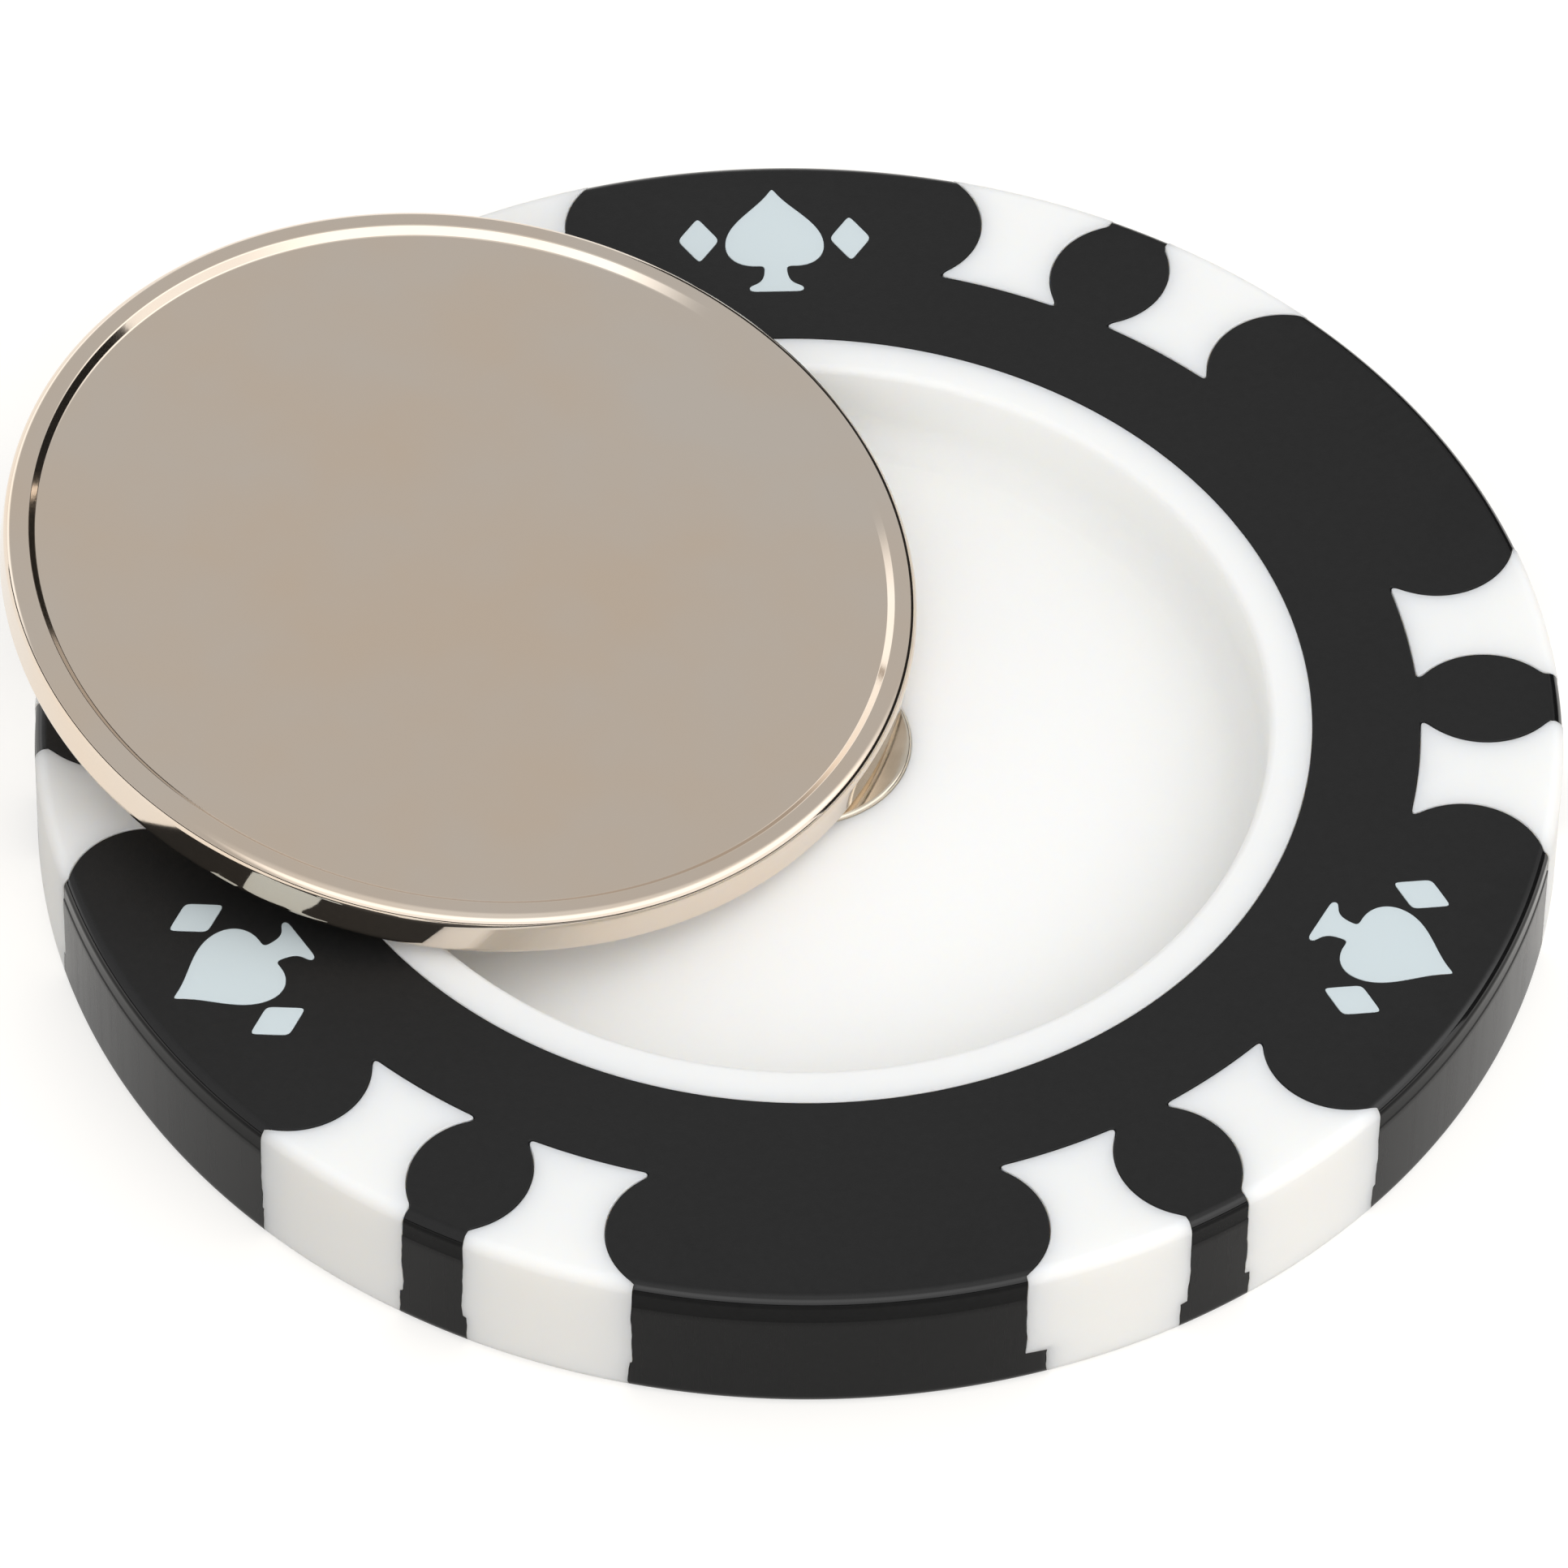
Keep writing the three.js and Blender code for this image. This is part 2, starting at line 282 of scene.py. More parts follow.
def flat_cap(verts, loops, upward):
    """Triangles between the loops of a flat face; the first loop is the outside, the others are holes."""
    flat = [index for loop in loops for index in loop]
    owner = [number for number, loop in enumerate(loops) for _ in loop]
    edges = []
    start = 0
    for loop in loops:
        edges += [(start + i, start + (i + 1) % len(loop)) for i in range(len(loop))]
        start += len(loop)
    points = [Vector(verts[i][:2]) for i in flat]
    inside_only = 1
    result = delaunay_2d_cdt(points, edges, [], inside_only, SAME_POINT)
    triangles = []
    for triangle in result[2]:
        inputs = [result[3][i][0] for i in triangle]
        a, b, c = (points[i] for i in inputs)
        owners = {owner[i] for i in inputs}
        hole = owners.pop() if len(owners) == 1 else 0
        if hole and encloses([points[i] for i in range(len(flat)) if owner[i] == hole], (a + b + c) / 3):
            continue
        corners = [flat[i] for i in inputs]
        if ((b - a).cross(c - a) > 0) != upward:
            corners.reverse()
        triangles.append(corners)
    return triangles


def encloses(loop, point):
    """True if a point lies inside a closed loop."""
    inside = False
    for a, b in zip(loop, loop[1:] + loop[:1]):
        if (a.y > point.y) != (b.y > point.y):
            if point.x < a.x + (b.x - a.x) * (point.y - a.y) / (b.y - a.y):
                inside = not inside
    return inside


def new_object(name, verts, faces):
    mesh = bpy.data.meshes.new(name)
    mesh.from_pydata([Vector(v) * MM for v in verts], [], faces)
    mesh.validate()
    obj = bpy.data.objects.new(name, mesh)
    bpy.context.collection.objects.link(obj)
    return obj


def joined(name, parts):
    """One mesh object from several closed shells that don't touch."""
    verts = []
    faces = []
    for part_verts, part_faces in parts:
        start = len(verts)
        verts.extend(part_verts)
        faces.extend([[start + i for i in face] for face in part_faces])
    return new_object(name, verts, faces)


def combine(obj, other, operation):
    """Joins or cuts obj with other, which is then deleted."""
    modifier = obj.modifiers.new("combine", "BOOLEAN")
    modifier.operation = operation
    modifier.solver = "MANIFOLD"
    modifier.object = other
    graph = bpy.context.evaluated_depsgraph_get()
    result = bpy.data.meshes.new_from_object(obj.evaluated_get(graph))
    obj.modifiers.clear()
    old_mesh = obj.data
    obj.data = result
    result.name = obj.name
    bpy.data.meshes.remove(old_mesh)
    other_mesh = other.data
    bpy.data.objects.remove(other)
    bpy.data.meshes.remove(other_mesh)


def smooth(obj):
    """Shading normals: a face corner takes the mean of the faces round it that lie within an angle of
    its own, weighted by area. The chip's flat top and bottom keep theirs."""
    mesh = obj.data
    limit = math.cos(SHARP_ANGLE)
    around = [[] for _ in mesh.vertices]
    faces = []
    for polygon in mesh.polygons:
        polygon.use_smooth = True
        heights = [mesh.vertices[i].co.z / MM for i in polygon.vertices]
        level = max(heights) - min(heights) < SAME_HEIGHT
        flat = level and min(abs(heights[0]), abs(heights[0] - CHIP_THICKNESS)) < ON_FACE
        normal = Vector((0, 0, math.copysign(1, polygon.normal.z))) if flat else polygon.normal.copy()
        faces.append((flat, normal, normal * polygon.area))
        for i in polygon.vertices:
            around[i].append(polygon.index)
    corner_normals = []
    for polygon in mesh.polygons:
        flat, own, _ = faces[polygon.index]
        for i in polygon.vertices:
            near = [faces[j][2] for j in around[i] if faces[j][1].dot(own) > limit]
            mean = own if flat else sum(near, Vector()).normalized()
            corner_normals.append(mean if mean.length > 0.5 else own)
    mesh.normals_split_custom_set(corner_normals)


# Outlines in plan

def resampled(points, count):
    """An open line of points, with an even spacing."""
    lengths = [0.0]
    for a, b in zip(points, points[1:]):
        lengths.append(lengths[-1] + math.dist(a, b))
    result = []
    segment = 0
    for i in range(count):
        target = lengths[-1] * i / (count - 1)
        while segment < len(points) - 2 and lengths[segment + 1] < target:
            segment += 1
        span = lengths[segment + 1] - lengths[segment]
        share = (target - lengths[segment]) / span if span > 0 else 0.0
        a, b = points[segment], points[segment + 1]
        result.append((a[0] + (b[0] - a[0]) * share, a[1] + (b[1] - a[1]) * share))
    return result


def softened(points, passes, closed):
    """Rounds the corners of an even line of points."""
    for _ in range(passes):
        count = len(points)
        result = []
        for i, point in enumerate(points):
            if not closed and i in (0, count - 1):
                result.append(point)
                continue
            before = points[i - 1]
            after = points[(i + 1) % count]
            result.append(tuple((before[n] + 2 * point[n] + after[n]) / 4 for n in (0, 1)))
        points = result
    return points


def offset_loop(loop, distance):
    """A closed anticlockwise loop, moved outwards by a small distance."""
    result = []
    count = len(loop)
    for i, (x, y) in enumerate(loop):
        before = loop[i - 1]
        after = loop[(i + 1) % count]
        way = Vector((after[0] - before[0], after[1] - before[1])).normalized()
        result.append((x + way.y * distance, y - way.x * distance))
    return result


def within(points, radius):
    """A line of points that comes in from outside, from where it crosses a circle round the axis."""
    first = next(i for i, point in enumerate(points) if math.hypot(*point) < radius)
    outer, dish_painted_light_mix = Vector(points[first - 1]), Vector(points[first])
    way = dish_painted_light_mix - outer
    a = way.dot(way)
    b = 2 * outer.dot(way)
    c = outer.dot(outer) - radius ** 2
    share = (-b - math.sqrt(b * b - 4 * a * c)) / (2 * a)
    return [tuple(outer + way * share)] + points[first:]


def turned_point(point, bearing):
    cosine, sine = math.cos(bearing), math.sin(bearing)
    return (point[0] * cosine - point[1] * sine, point[0] * sine + point[1] * cosine)


def bearings(first, last):
    """The bearings of two points, the second one anticlockwise from the first."""
    start = math.atan2(first[1], first[0])
    end = math.atan2(last[1], last[0])
    return start, end + 2 * math.pi if end < start else end


def arc(radius, start, end, count):
    """Points between two bearings, without the two ends."""
    points = []
    for i in range(1, count):
        angle = start + (end - start) * i / count
        points.append((radius * math.cos(angle), radius * math.sin(angle)))
    return points


def bezier(points, count):
    """Points of a cubic curve, without its end."""
    result = []
    for i in range(count):
        t = i / count
        u = 1 - t
        weights = (u ** 3, 3 * u * u * t, 3 * u * t * t, t ** 3)
        result.append(tuple(sum(w * p[n] for w, p in zip(weights, points)) for n in (0, 1)))
    return result


def raised(loop, height):
    return [(x, y, height) for x, y in loop]


# Edge spots: twelve hourglass inlays in pairs, with uneven seams on the edge

class Spot:
    def __init__(self, bearing, halves, dice):
        self.bearing = bearing
        self.halves = halves  # half widths at the rim, low side and high side
        self.steps = [LEAST_PARTING_STEP + PARTING_STEP_SPREAD * dice.random() ** 2 for _ in halves]
        self.phases = [[dice.uniform(0, 2 * math.pi) for _ in SEAM_WAVES] for _ in halves]

    def growth(self, side, height, gap):
        """How far a side stands out from its even outline at a height on the edge."""
        fade = min(1.0, max(0.0, (CHIP_THICKNESS - STRAIGHT_SEAM - height) / SEAM_FADE))
        wave = 0.0
        for (size, pace), phase in zip(SEAM_WAVES, self.phases[side]):
            wave += size * math.sin(pace * height + phase)
        step = self.steps[side] if height < PARTING_HEIGHT else 0.0
        return gap + wave * fade - step

    def line(self, height, rim_radius, gap):
        """The spot's border in plan, from the rim on the low side round the inner end to the rim."""
        hollow_centre = WAIST_HALF + WAIST_ARC
        inner_radius = SPOT_INNER_RADIUS - gap
        sides = []
        for side, sign in ((0, -1), (1, 1)):
            growth = self.growth(side, height, gap)
            hollow = WAIST_ARC - growth
            half = self.halves[side] + growth
            start = math.asin((hollow_centre - half) / hollow)
            end = math.acos((inner_radius + SIDE_STOP - WAIST_RADIUS) / hollow)
            points = [(CHIP_RADIUS + RIM_OVERSHOOT, sign * half)]
            for i in range(HOLLOW_STEPS + 1):
                angle = start + (end - start) * i / HOLLOW_STEPS
                across = hollow_centre - hollow * math.sin(angle)
                points.append((WAIST_RADIUS + hollow * math.cos(angle), sign * across))
            sides.append(within(points, rim_radius))
        inner_angle = math.asin((SPOT_INNER_HALF + gap) / inner_radius)
        middle = []
        for i in range(INNER_END_STEPS + 1):
            angle = inner_angle * (2 * i / INNER_END_STEPS - 1)
            middle.append((inner_radius * math.cos(angle), inner_radius * math.sin(angle)))
        whole = sides[0] + middle + sides[1][::-1]
        line = softened(resampled(whole, SPOT_POINTS), SPOT_SOFTENING, closed=False)
        return [turned_point(point, self.bearing) for point in line]


def make_spots():
    dice = random.Random(SEAM_SEED)
    spots = []
    for pair in range(PAIR_COUNT):
        middle = 2 * math.pi * pair / PAIR_COUNT
        for side in (-1, 1):
            halves = [RIM_HALF_OUTSIDE, RIM_HALF_IN_PAIR][::-side]
            spots.append(Spot(middle + side * SPOT_BEARING, halves, dice))
    spots[BROAD_STEP_SPOT].steps = BROAD_PARTING_STEPS
    return spots


def edge_levels(band_step):
    """(height, rim radius) from the bottom face to the top face."""
    top = CHIP_THICKNESS
    levels = [(z, r) for r, z in fillet(CHIP_RADIUS - EDGE_ROUND, EDGE_ROUND, EDGE_ROUND, -90, 0)]
    parting_levels = (PARTING_HEIGHT - PARTING_DROP, PARTING_HEIGHT)
    levels += [(z, CHIP_RADIUS) for z in LOW_SIDE_LEVELS + parting_levels + HIGH_SIDE_LEVELS]
    band_low = top - EDGE_ROUND - BAND_HEIGHT
    levels += [(band_low, CHIP_RADIUS), (band_low + BAND_SHOULDER, CHIP_RADIUS - band_step)]
    rim = fillet(CHIP_RADIUS - band_step - EDGE_ROUND, top - EDGE_ROUND, EDGE_ROUND, 0, 90)
    levels += [(z, r) for r, z in rim]
    return levels


def seam_inset(height):
    """Small rounding where a seam meets the flat faces."""
    return max(0.0, SEAM_ROUND - height, SEAM_ROUND - (CHIP_THICKNESS - height))


def spot_solid(spot):
    stack = []
    count = None
    for height, rim_radius in edge_levels(0.0):
        line = spot.line(height, rim_radius, -seam_inset(height))
        start, end = bearings(line[0], line[-1])
        if count is None:
            count = round(CHIP_RADIUS * (end - start) / RIM_SPACING)
        loop = line + arc(rim_radius, start, end, count)[::-1]
        stack.append(raised(loop, height)[::-1])
    return lofted([stack])


# Suit pips

def spade_loop():
    """Half of a spade from its tip to its foot, and its mirror image."""
    tip = SPADE_LENGTH / 2
    side = SPADE_WIDTH / 2
    widest = (-tip * 0.12, side)
    notch = (-tip * 0.5, side * 0.22)
    flare = (-tip * 0.82, side * 0.26)
    foot = (-tip * 0.9, side * 0.58)
    half = bezier([(tip, 0), (tip * 0.6, side * 0.25), (tip * 0.35, side), widest], SHOULDER_STEPS)
    half += bezier([widest, (-tip * 0.42, side), (-tip * 0.57, side * 0.62), notch], CHEEK_STEPS)
    half += bezier([notch, flare, flare, foot], STEM_STEPS)
    half += [foot, (-tip, side * 0.55)]
    return even_loop(half + [(x, -y) for x, y in half[:0:-1]])


def diamond_loop():
    long_half = DIAMOND_LENGTH / 2
    wide_half = DIAMOND_WIDTH / 2
    return even_loop([(long_half, 0), (0, wide_half), (-long_half, 0), (0, -wide_half)])


def even_loop(points):
    closed = points + points[:1]
    length = sum(math.dist(a, b) for a, b in zip(closed, closed[1:]))
    count = round(length / PIP_SPACING)
    return softened(resampled(closed, count + 1)[:-1], PIP_SOFTENING, closed=True)


def pip_loops():
    """Every pip's loop in plan, anticlockwise."""
    shapes = [(spade_loop(), 0.0), (diamond_loop(), DIAMOND_OFFSET), (diamond_loop(), -DIAMOND_OFFSET)]
    loops = []
    for sector in range(PIP_COUNT):
        bearing = math.pi / 2 + 2 * math.pi * sector / PIP_COUNT
        for loop, across in shapes:
            loops.append([turned_point((x + PIP_RADIUS, y + across), bearing) for x, y in loop])
    return loops


# Pieces

def core_profile():
    """The core's section from the middle of its underside round the web and the recess to the pocket."""
    top = CHIP_THICKNESS
    ring = RING_RADIUS - SEAM_GAP
    profile = [(0, 0)]
    profile += [(radius, 0) for radius in UNDERSIDE_RINGS]
    profile += [(ring - SEAM_ROUND, 0), (ring, SEAM_ROUND)]
    profile += [(ring, WEB_LOW), (WEB_RADIUS, WEB_LOW), (WEB_RADIUS, WEB_HIGH), (ring, WEB_HIGH)]
    profile += [(ring, top - SEAM_ROUND), (ring - SEAM_ROUND, top)]
    profile += fillet(RECESS_RADIUS + LIP_ROUND, top - LIP_ROUND, LIP_ROUND, 90, 180)
    return profile + floor_profile()


def floor_profile():
    """The foot of the recess wall, the domed floor and the magnet's pocket."""
    dome_radius = (RECESS_RADIUS ** 2 + FLOOR_RISE ** 2) / (2 * FLOOR_RISE)
    dome_centre = CHIP_THICKNESS - RECESS_DEPTH + FLOOR_RISE - dome_radius

    def dome(radius):
        return dome_centre + math.sqrt(dome_radius ** 2 - radius ** 2)

    foot_radius = RECESS_RADIUS - FOOT_ROUND
    foot_angle = math.asin(foot_radius / (dome_radius + FOOT_ROUND))
    foot_height = dome_centre + (dome_radius + FOOT_ROUND) * math.cos(foot_angle)
    profile = fillet(foot_radius, foot_height, FOOT_ROUND, 0, -90 - math.degrees(foot_angle), FOOT_STEPS)
    floor_radius = dome_radius * math.sin(foot_angle)
    pocket_radius = MAGNET_RADIUS + POCKET_GAP
    pocket_floor = MAGNET_TOP - MAGNET_THICKNESS - POCKET_GAP
    for i in range(1, FLOOR_STEPS + 1):
        radius = floor_radius + (pocket_radius + POCKET_LIP - floor_radius) * i / FLOOR_STEPS
        profile.append((radius, dome(radius)))
    profile.append((pocket_radius, dome(pocket_radius) - POCKET_LIP))
    return profile + [(pocket_radius, pocket_floor), (0, pocket_floor)]


def make_core(spots):
    core = new_object("chip_core", *turned(core_profile()))
    plugs = [spot_solid(spot) for spot in spots]
    for loop in pip_loops():
        stack = [raised(offset_loop(loop, -PIP_GAP - inset), z) for z, inset in PIP_LEVELS]
        plugs.append(lofted([stack]))
    combine(core, joined("plugs", plugs), "UNION")
    return core


def make_overmould(spots):
    outside = []
    for height, rim_radius in edge_levels(BAND_STEP):
        gap = SEAM_GAP + seam_inset(height)
        lines = [spot.line(height, rim_radius, gap) for spot in spots]
        loop = []
        for number, line in enumerate(lines):
            following = lines[(number + 1) % len(lines)]
            start, end = bearings(line[-1], following[0])
            loop += line + arc(rim_radius, start, end, arc_count(spots, number))
        outside.append(raised(loop, height))
    holes = [[circle(RING_RADIUS + inset, z) for z, inset in PIP_LEVELS]]
    for loop in pip_loops():
        holes.append([raised(offset_loop(loop, inset), z) for z, inset in PIP_LEVELS])
    overmould = new_object("chip_overmould", *lofted([outside] + holes))
    combine(overmould, make_web_slot(), "DIFFERENCE")
    return overmould


def arc_count(spots, number):
    """Points along the rim between a spot and the next, by the angle between them."""
    gap = (spots[(number + 1) % len(spots)].bearing - spots[number].bearing) % (2 * math.pi)
    return PAIR_GAP_POINTS if gap < PAIR_GAP_LIMIT else SECTOR_GAP_POINTS


def make_web_slot():
    """The ring that the core's web leaves free in the over-mould."""
    slot_inner = RING_RADIUS - RIM_OVERSHOOT
    slot_outer = WEB_RADIUS + SEAM_GAP
    slot_low = WEB_LOW - SEAM_GAP
    slot_high = WEB_HIGH + SEAM_GAP
    corners = [(slot_inner, slot_low), (slot_outer, slot_low)]
    corners += [(slot_outer, slot_high), (slot_inner, slot_high)]
    return new_object("web_slot", *welded(*turned(corners + corners[:1])))


def welded(verts, faces):
    """A ring profile closes on itself: its last ring of points is its first."""
    last = len(verts) - TURN_SEGMENTS
    return verts[:last], [[i - last if i >= last else i for i in face] for face in faces]


def make_magnet():
    low = MAGNET_TOP - MAGNET_THICKNESS
    profile = [(0, low)]
    profile += fillet(MAGNET_RADIUS - MAGNET_ROUND, low + MAGNET_ROUND, MAGNET_ROUND, -90, 0)
    profile += fillet(MAGNET_RADIUS - MAGNET_ROUND, MAGNET_TOP - MAGNET_ROUND, MAGNET_ROUND, 0, 90)
    profile += [(MAGNET_RING, MAGNET_TOP), (0, MAGNET_TOP)]
    return new_object("magnet_disc", *turned(profile, MAGNET_SEGMENTS))


def marker_place():
    """Where the marker leans: over the lip at its two crossings, with its low edge on the magnet."""
    crossing = (MARKER_OFFSET ** 2 + RECESS_RADIUS ** 2 - MARKER_RADIUS ** 2) / (2 * MARKER_OFFSET)
    to_crossing = MARKER_OFFSET - crossing
    lean = math.asin((CHIP_THICKNESS - MAGNET_TOP) / (MARKER_RADIUS - to_crossing))
    height = CHIP_THICKNESS + REST_GAP + to_crossing * math.tan(lean)
    place = Matrix.Rotation(MARKER_BEARING, 4, "Z")
    place @= Matrix.Translation((MARKER_OFFSET, 0, height))
    return place @ Matrix.Rotation(LEAN_TURN, 4, "Z") @ Matrix.Rotation(-lean, 4, "Y")


def make_marker():
    top = MARKER_THICKNESS
    face = top - RIM_HEIGHT
    round_radius = MARKER_RADIUS - MARKER_ROUND
    rim_inner = MARKER_RADIUS - RIM_WIDTH
    slope_foot = rim_inner - RIM_SLOPE_RUN
    slope = math.degrees(math.atan2(RIM_HEIGHT, RIM_SLOPE_RUN))
    back = SLOPE_TOP_ROUND * math.tan(math.radians(slope) / 2)
    front = SLOPE_FOOT_ROUND * math.tan(math.radians(slope) / 2)
    profile = [(0, 0), (MARKER_BACK_RING, 0)]
    profile += fillet(round_radius, MARKER_ROUND, MARKER_ROUND, -90, 0)
    profile += fillet(round_radius, top - MARKER_ROUND, MARKER_ROUND, 0, 90)
    profile += fillet(rim_inner + back, top - SLOPE_TOP_ROUND, SLOPE_TOP_ROUND, 90, 90 + slope,
                      SLOPE_TOP_STEPS)
    profile += fillet(slope_foot - front, face + SLOPE_FOOT_ROUND, SLOPE_FOOT_ROUND, slope - 90, -90,
                      SLOPE_FOOT_STEPS)
    profile += [(radius, face) for radius in MARKER_FACE_RINGS]
    profile.append((0, face))
    verts, faces = turned(profile)
    place = marker_place()
    return new_object("ball_marker", [place @ Vector(v) for v in verts], faces)


# Materials

class Tree:
    """The shader nodes of a material or of the world."""

    def __init__(self, owner):
        owner.use_nodes = True
        self.nodes = owner.node_tree.nodes
        self.links = owner.node_tree.links

    def feed(self, socket, value):
        """Links another node's output to a socket, or sets a plain value there."""
        if isinstance(value, bpy.types.NodeSocket):
            self.links.new(value, socket)
        else:
            socket.default_value = value

    def place(self, kind="Object"):
        return self.nodes.new("ShaderNodeTexCoord").outputs[kind]

    def noise(self, vector, scale, detail=3.0, roughness=0.6):
        made = self.nodes.new("ShaderNodeTexNoise")
        self.feed(made.inputs["Vector"], vector)
        self.feed(made.inputs["Scale"], scale)
        self.feed(made.inputs["Detail"], detail)
        self.feed(made.inputs["Roughness"], roughness)
        return made.outputs["Fac"]

    def ramp(self, value, edges, levels, kind="LINEAR"):
        """Goes from the first level to the second between two edges of a value."""
        made = self.nodes.new("ShaderNodeMapRange")
        made.interpolation_type = kind
        self.feed(made.inputs["Value"], value)
        self.feed(made.inputs["From Min"], edges[0])
        self.feed(made.inputs["From Max"], edges[1])
        self.feed(made.inputs["To Min"], levels[0])
        self.feed(made.inputs["To Max"], levels[1])
        return made.outputs["Result"]

    def step(self, value, edges, levels=(0.0, 1.0)):
        return self.ramp(value, edges, levels, "SMOOTHSTEP")

    def math(self, operation, first, second):
        made = self.nodes.new("ShaderNodeMath")
        made.operation = operation
        self.feed(made.inputs[0], first)
        self.feed(made.inputs[1], second)
        return made.outputs["Value"]

    def vector_math(self, operation, first, second, output):
        made = self.nodes.new("ShaderNodeVectorMath")
        made.operation = operation
        self.feed(made.inputs[0], first)
        self.feed(made.inputs[1], second)
        return made.outputs[output]

    def mixed(self, share, first, second):
        """A mix of two numbers."""
        made = self.nodes.new("ShaderNodeMix")
        self.feed(made.inputs["Factor"], share)
        self.feed(made.inputs["A"], first)
        self.feed(made.inputs["B"], second)
        return made.outputs["Result"]

    def mixed_color(self, share, first, second):
        made = self.nodes.new("ShaderNodeMix")
        made.data_type = "RGBA"
        self.feed(made.inputs["Factor"], share)
        color_sockets = made.inputs[6:8]
        for socket, value in zip(color_sockets, (first, second)):
            self.feed(socket, opaque(value) if isinstance(value, tuple) else value)
        return made.outputs[2]

    def bump(self, height, strength, distance):
        made = self.nodes.new("ShaderNodeBump")
        self.feed(made.inputs["Height"], height)
        self.feed(made.inputs["Strength"], strength)
        self.feed(made.inputs["Distance"], distance)
        return made.outputs["Normal"]

    def axis_distance(self, place):
        flat = self.vector_math("MULTIPLY", place, (1.0, 1.0, 0.0), "Vector")
        return self.vector_math("LENGTH", flat, (0.0, 0.0, 0.0), "Value")


def opaque(color):
    return (*color, 1.0)


def material(name, **values):
    """A new material, its nodes and its shader's inputs. The values are the same all over the surface."""
    made = bpy.data.materials.new(name)
    tree = Tree(made)
    inputs = tree.nodes["Principled BSDF"].inputs
    for key, value in values.items():
        inputs[key.replace("_", " ")].default_value = value
    return made, tree, inputs


def white_plastic():
    """Moulded white plastic. The dish is painted a shade lighter than the spots, as painted light in the
    recess, and the edge is painted creamier and darker, as painted shade on the sides.
    """
    made, tree, inputs = scattering_plastic("white_plastic", 0.6)
    radius = tree.axis_distance(tree.place())
    # Painted light: inside the recess the white is painted lighter and creamier.
    outside = tree.step(radius, ((RECESS_RADIUS - 0.3) * MM, (RECESS_RADIUS + 0.3) * MM))
    # Painted shade: the white on the edge, the sides of the spots, is painted darker and warmer.
    on_edge = tree.step(radius, ((CHIP_RADIUS - 0.25) * MM, (CHIP_RADIUS - 0.02) * MM))
    dish_painted_light_mix = tree.mixed_color(outside, DISH_WHITE_WITH_PAINTED_LIGHT, SPOT_WHITE)
    tree.feed(inputs["Base Color"], tree.mixed_color(on_edge, dish_painted_light_mix, EDGE_WHITE_PAINTED_SHADE))
    return made


def thin_white_plastic():
    """The pips, where the black plastic shows faintly through."""
    made, _, inputs = scattering_plastic("thin_white_plastic", 0.1)
    inputs["Base Color"].default_value = opaque(PIP_WHITE)
    return made


def scattering_plastic(name, scatter):
    """Plastic that light enters a little way, with a soft uneven sheen and a fine grain."""
    made, tree, inputs = material(name, Specular_IOR_Level=0.35, Subsurface_Weight=scatter,
                                  Subsurface_Radius=(1.0, 0.9, 0.75), Subsurface_Scale=1.2 * MM)
    place = tree.place()
    clouds = tree.noise(place, scale=180.0)
    grain = tree.noise(place, scale=5200.0, detail=2.0)
    tree.feed(inputs["Roughness"], tree.ramp(clouds, (0.3, 0.7), (0.42, 0.54)))
    tree.feed(inputs["Normal"], tree.bump(grain, strength=0.1, distance=0.02 * MM))
    return made, tree, inputs


def black_plastic():
    """Grained black plastic, with a glossy band under the rim and fine upright streaks on the edge."""
    made, tree, inputs = material("black_plastic")
    place = tree.place()
    split = tree.nodes.new("ShaderNodeSeparateXYZ")
    tree.feed(split.inputs["Vector"], place)
    height = split.outputs["Z"]
    stretch = tree.nodes.new("ShaderNodeMapping")
    tree.feed(stretch.inputs["Vector"], place)
    tree.feed(stretch.inputs["Scale"], (1.0, 1.0, 0.03))
    grain = tree.noise(place, scale=4200.0, roughness=0.7)
    clouds = tree.noise(place, scale=150.0)
    streaks = tree.noise(stretch.outputs["Vector"], scale=2600.0, detail=4.0, roughness=0.7)

    rim_low = CHIP_THICKNESS - EDGE_ROUND
    band_low = rim_low - BAND_HEIGHT
    on_edge = tree.step(tree.axis_distance(place), ((CHIP_RADIUS - 0.32) * MM, (CHIP_RADIUS - 0.2) * MM))
    in_band = tree.step(height, ((band_low - 0.02) * MM, (band_low + 0.02) * MM))
    on_rim = tree.step(height, ((rim_low + 0.12) * MM, (rim_low + 0.2) * MM))
    glossy = tree.math("MULTIPLY", on_edge, in_band)
    side = tree.math("SUBTRACT", on_edge, glossy)
    top = tree.math("SUBTRACT", 1.0, on_edge)

    tree.feed(inputs["Base Color"], tree.mixed_color(grain, BLACK_LOW, BLACK_HIGH))
    rough_top = tree.ramp(clouds, (0.3, 0.7), (0.5, 0.58))
    rough_side = tree.ramp(streaks, (0.3, 0.7), (0.24, 0.29))
    rough_band = 0.07
    rough = tree.mixed(side, rough_top, rough_side)
    tree.feed(inputs["Roughness"], tree.mixed(glossy, rough, rough_band))
    shine_top, shine_side, shine_band, shine_rim = 0.35, 0.13, 0.07, 0.5
    edge_shine = tree.mixed(on_rim, tree.mixed(in_band, shine_side, shine_band), shine_rim)
    tree.feed(inputs["Specular IOR Level"], tree.mixed(on_edge, shine_top, edge_shine))
    streak_share = tree.math("MULTIPLY", side, 0.2)
    relief = tree.math("ADD", tree.math("MULTIPLY", grain, top), tree.math("MULTIPLY", streaks, streak_share))
    tree.feed(inputs["Normal"], tree.bump(relief, strength=0.3, distance=0.03 * MM))
    return made


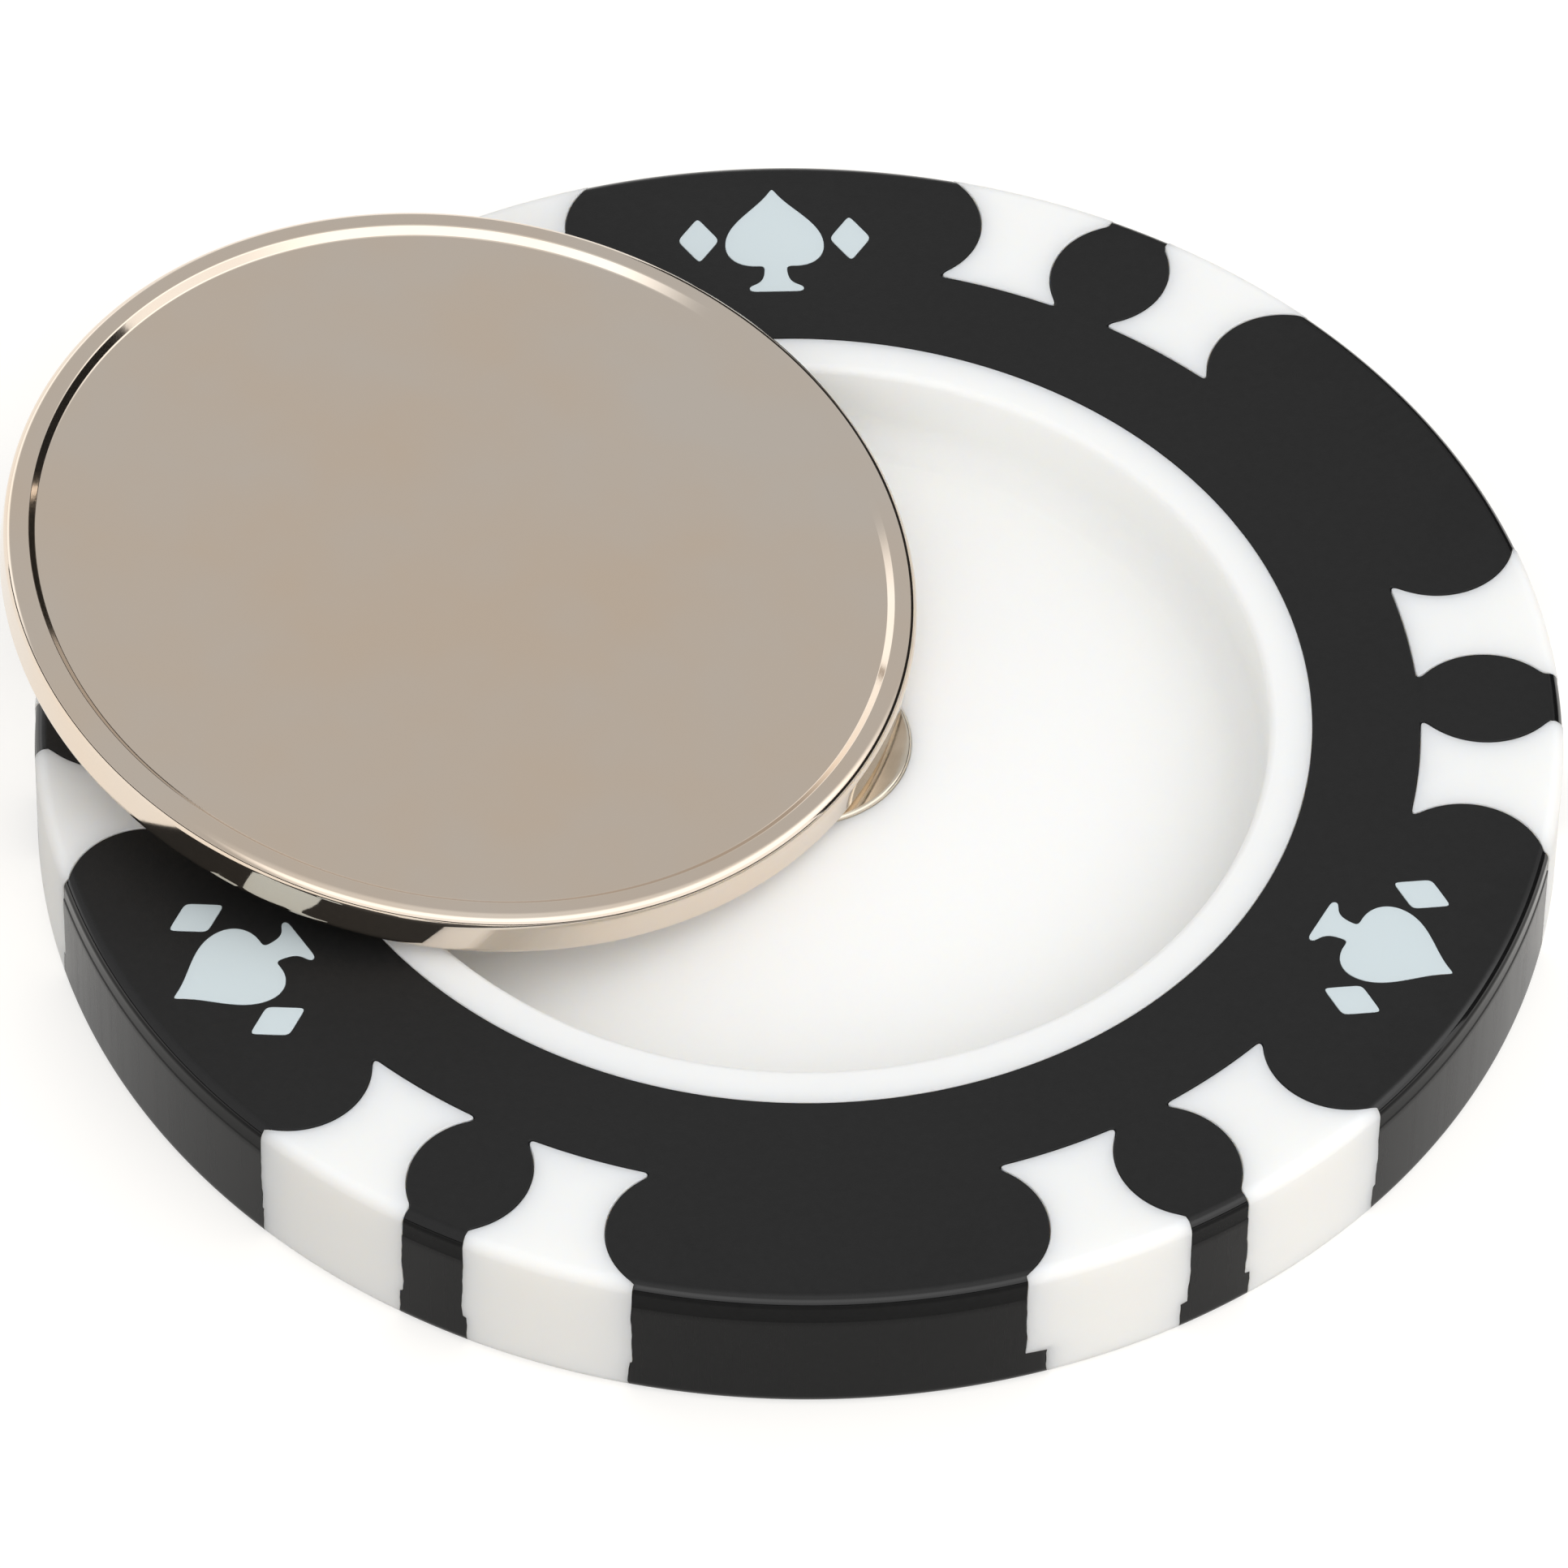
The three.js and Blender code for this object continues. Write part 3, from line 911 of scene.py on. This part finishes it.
def plating(name, light, dark, roughness, haze_scale):
    """Polished metal plating with a faint haze in two tints."""
    made, tree, inputs = material(name, Metallic=1.0)
    place = tree.place()
    haze = tree.noise(place, haze_scale, detail=4.0)
    specks = tree.noise(place, scale=6000.0, detail=2.0)
    tint = tree.ramp(haze, (0.35, 0.65), (0.0, 1.0))
    tree.feed(inputs["Base Color"], tree.mixed_color(tint, dark, light))
    tree.feed(inputs["Roughness"], tree.ramp(haze, (0.3, 0.7), roughness))
    tree.feed(inputs["Normal"], tree.bump(specks, strength=0.02, distance=0.01 * MM))
    return made


def assign(obj, *made):
    obj.data.materials.clear()
    for one in made:
        obj.data.materials.append(one)


def tint_pips(core):
    """The thin pips take the second material of the core."""
    sector = 2 * math.pi / PIP_COUNT
    for polygon in core.data.polygons:
        x, y, z = polygon.center / MM
        in_zone = PIP_ZONE[0] < math.hypot(x, y) < PIP_ZONE[1]
        in_web = WEB_LOW - WEB_MARGIN < z < WEB_HIGH + WEB_MARGIN
        turn = (math.atan2(y, x) - math.pi / 2) % sector
        if in_zone and not in_web and min(turn, sector - turn) < PIP_ZONE_HALF:
            polygon.material_index = 1


# The four pieces of the part

spots = make_spots()
core = make_core(spots)
overmould = make_overmould(spots)
magnet = make_magnet()
marker = make_marker()

assign(core, white_plastic(), thin_white_plastic())
tint_pips(core)
assign(overmould, black_plastic())
assign(magnet, plating("magnet_plating", MAGNET_LIGHT, MAGNET_DARK, roughness=(0.12, 0.2), haze_scale=900.0))
assign(marker, plating("marker_plating", MARKER_LIGHT, MARKER_DARK, roughness=(0.05, 0.08), haze_scale=90.0))

for piece, body, cad_node, slot_name in (
    (core, "chip", "white_core", "white_plastic"),
    (overmould, "chip", "black_overmould", "black_plastic"),
    (magnet, "chip", "disc_magnet", "magnet_plating"),
    (marker, "marker", "steel_marker", "marker_plating"),
):
    smooth(piece)
    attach(piece, body)
    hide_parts(cad_node)


# Floor, light and camera

def make_floor():
    signs = ((-1, -1), (1, -1), (1, 1), (-1, 1))
    corners = [(x * FLOOR_REACH, y * FLOOR_REACH, 0) for x, y in signs]
    floor = new_object("floor", corners, [[0, 1, 2, 3]])
    made, tree, inputs = material("white_floor", Base_Color=opaque(FLOOR_COLOR), Roughness=STAGE_ROUGHNESS,
                                  Specular_IOR_Level=FLOOR_SHINE, Emission_Color=opaque(PURE_WHITE))
    rays = tree.nodes.new("ShaderNodeLightPath").outputs
    seen = tree.math("MAXIMUM", rays["Is Camera Ray"], rays["Is Glossy Ray"])
    seen = tree.math("MAXIMUM", seen, rays["Is Transmission Ray"])
    tree.feed(inputs["Emission Strength"], tree.math("MULTIPLY", seen, FLOOR_GLOW))
    assign(floor, made)


def make_surround(name, start, end, radius, height):
    """A dark wall on the floor between two bearings. Only reflections see it, as a line at the horizon."""
    count = round((end - start) / WALL_STEP)
    verts = []
    faces = []
    for i in range(count + 1):
        angle = math.radians(start + (end - start) * i / count)
        x, y = radius * math.cos(angle), radius * math.sin(angle)
        verts += [(x, y, 0.0), (x, y, height)]
        if i:
            faces.append([2 * i - 2, 2 * i, 2 * i + 1, 2 * i - 1])
    wall = new_object(name, verts, faces)
    made, _, _ = material(name, Base_Color=opaque(WALL_COLOR), Roughness=STAGE_ROUGHNESS,
                          Specular_IOR_Level=0.0)
    assign(wall, made)
    wall.visible_camera = False
    wall.visible_diffuse = False
    wall.visible_shadow = False


def make_world():
    """Soft studio light: a wide softbox at the front right, a low panel at the back left, a white horizon.
    Metal mirrors the softbox as a strip, dimmer low down and overhead."""
    world = bpy.data.worlds.new("studio")
    tree = Tree(world)
    direction = tree.place("Generated")

    def along(axis):
        return tree.vector_math("DOT_PRODUCT", direction, axis, "Value")

    height = along((0.0, 0.0, 1.0))
    strip = tree.step(height, MIRRORED_LOW_EDGE, (MIRRORED_LOW_LEVEL, SOFTBOX_LEVEL))
    strip = tree.mixed(tree.step(height, MIRRORED_OVERHEAD_EDGE), strip, MIRRORED_OVERHEAD_LEVEL)
    mirrored = tree.nodes.new("ShaderNodeLightPath").outputs["Is Glossy Ray"]
    softbox = tree.mixed(mirrored, SOFTBOX_LEVEL, strip)
    sky = tree.mixed(tree.step(along(SOFTBOX_AXIS), SOFTBOX_EDGE), SKY_LEVEL, softbox)
    below_top = tree.step(height, PANEL_TOP_EDGE, (1.0, 0.0))
    panel = tree.math("MULTIPLY", tree.step(along(PANEL_AXIS), PANEL_SIDE_EDGE), below_top)
    sky = tree.mixed(panel, sky, PANEL_LEVEL)
    background = tree.nodes["Background"].inputs
    background["Color"].default_value = opaque(PURE_WHITE)
    tree.feed(background["Strength"], tree.mixed(tree.step(height, HORIZON_EDGE), HORIZON_LEVEL, sky))
    bpy.context.scene.world = world


def make_camera():
    cosine, sine = math.cos(CAMERA_ELEVATION), math.sin(CAMERA_ELEVATION)
    forward = Vector((0, cosine, -sine))
    right = Vector((1, 0, 0))
    up = Vector((0, sine, cosine))
    rolled_right = right * math.cos(CAMERA_ROLL) + up * math.sin(CAMERA_ROLL)
    rolled_up = up * math.cos(CAMERA_ROLL) - right * math.sin(CAMERA_ROLL)
    eye = rolled_right * CAMERA_SIDE + rolled_up * CAMERA_LIFT - forward * CAMERA_DISTANCE
    turn = Matrix.Rotation(-CAMERA_TURN, 4, "Z")
    camera = bpy.data.cameras.new("camera")
    camera.lens = CAMERA_LENS
    camera.sensor_width = SENSOR_WIDTH
    camera.sensor_fit = "HORIZONTAL"
    camera.clip_start = CLIP_START
    camera.clip_end = CLIP_END
    obj = bpy.data.objects.new("camera", camera)
    bpy.context.collection.objects.link(obj)
    axes = Matrix((rolled_right, rolled_up, -forward)).transposed().to_4x4()
    place = Matrix.Translation(Vector((0, 0, CHIP_THICKNESS)) * MM) @ turn
    obj.matrix_world = place @ Matrix.Translation(eye * MM) @ axes
    bpy.context.scene.camera = obj


make_floor()
make_surround("low_surround", *LOW_WALL)
make_surround("right_surround", *RIGHT_WALL)
make_world()
make_camera()
bpy.context.scene.view_settings.view_transform = "Standard"
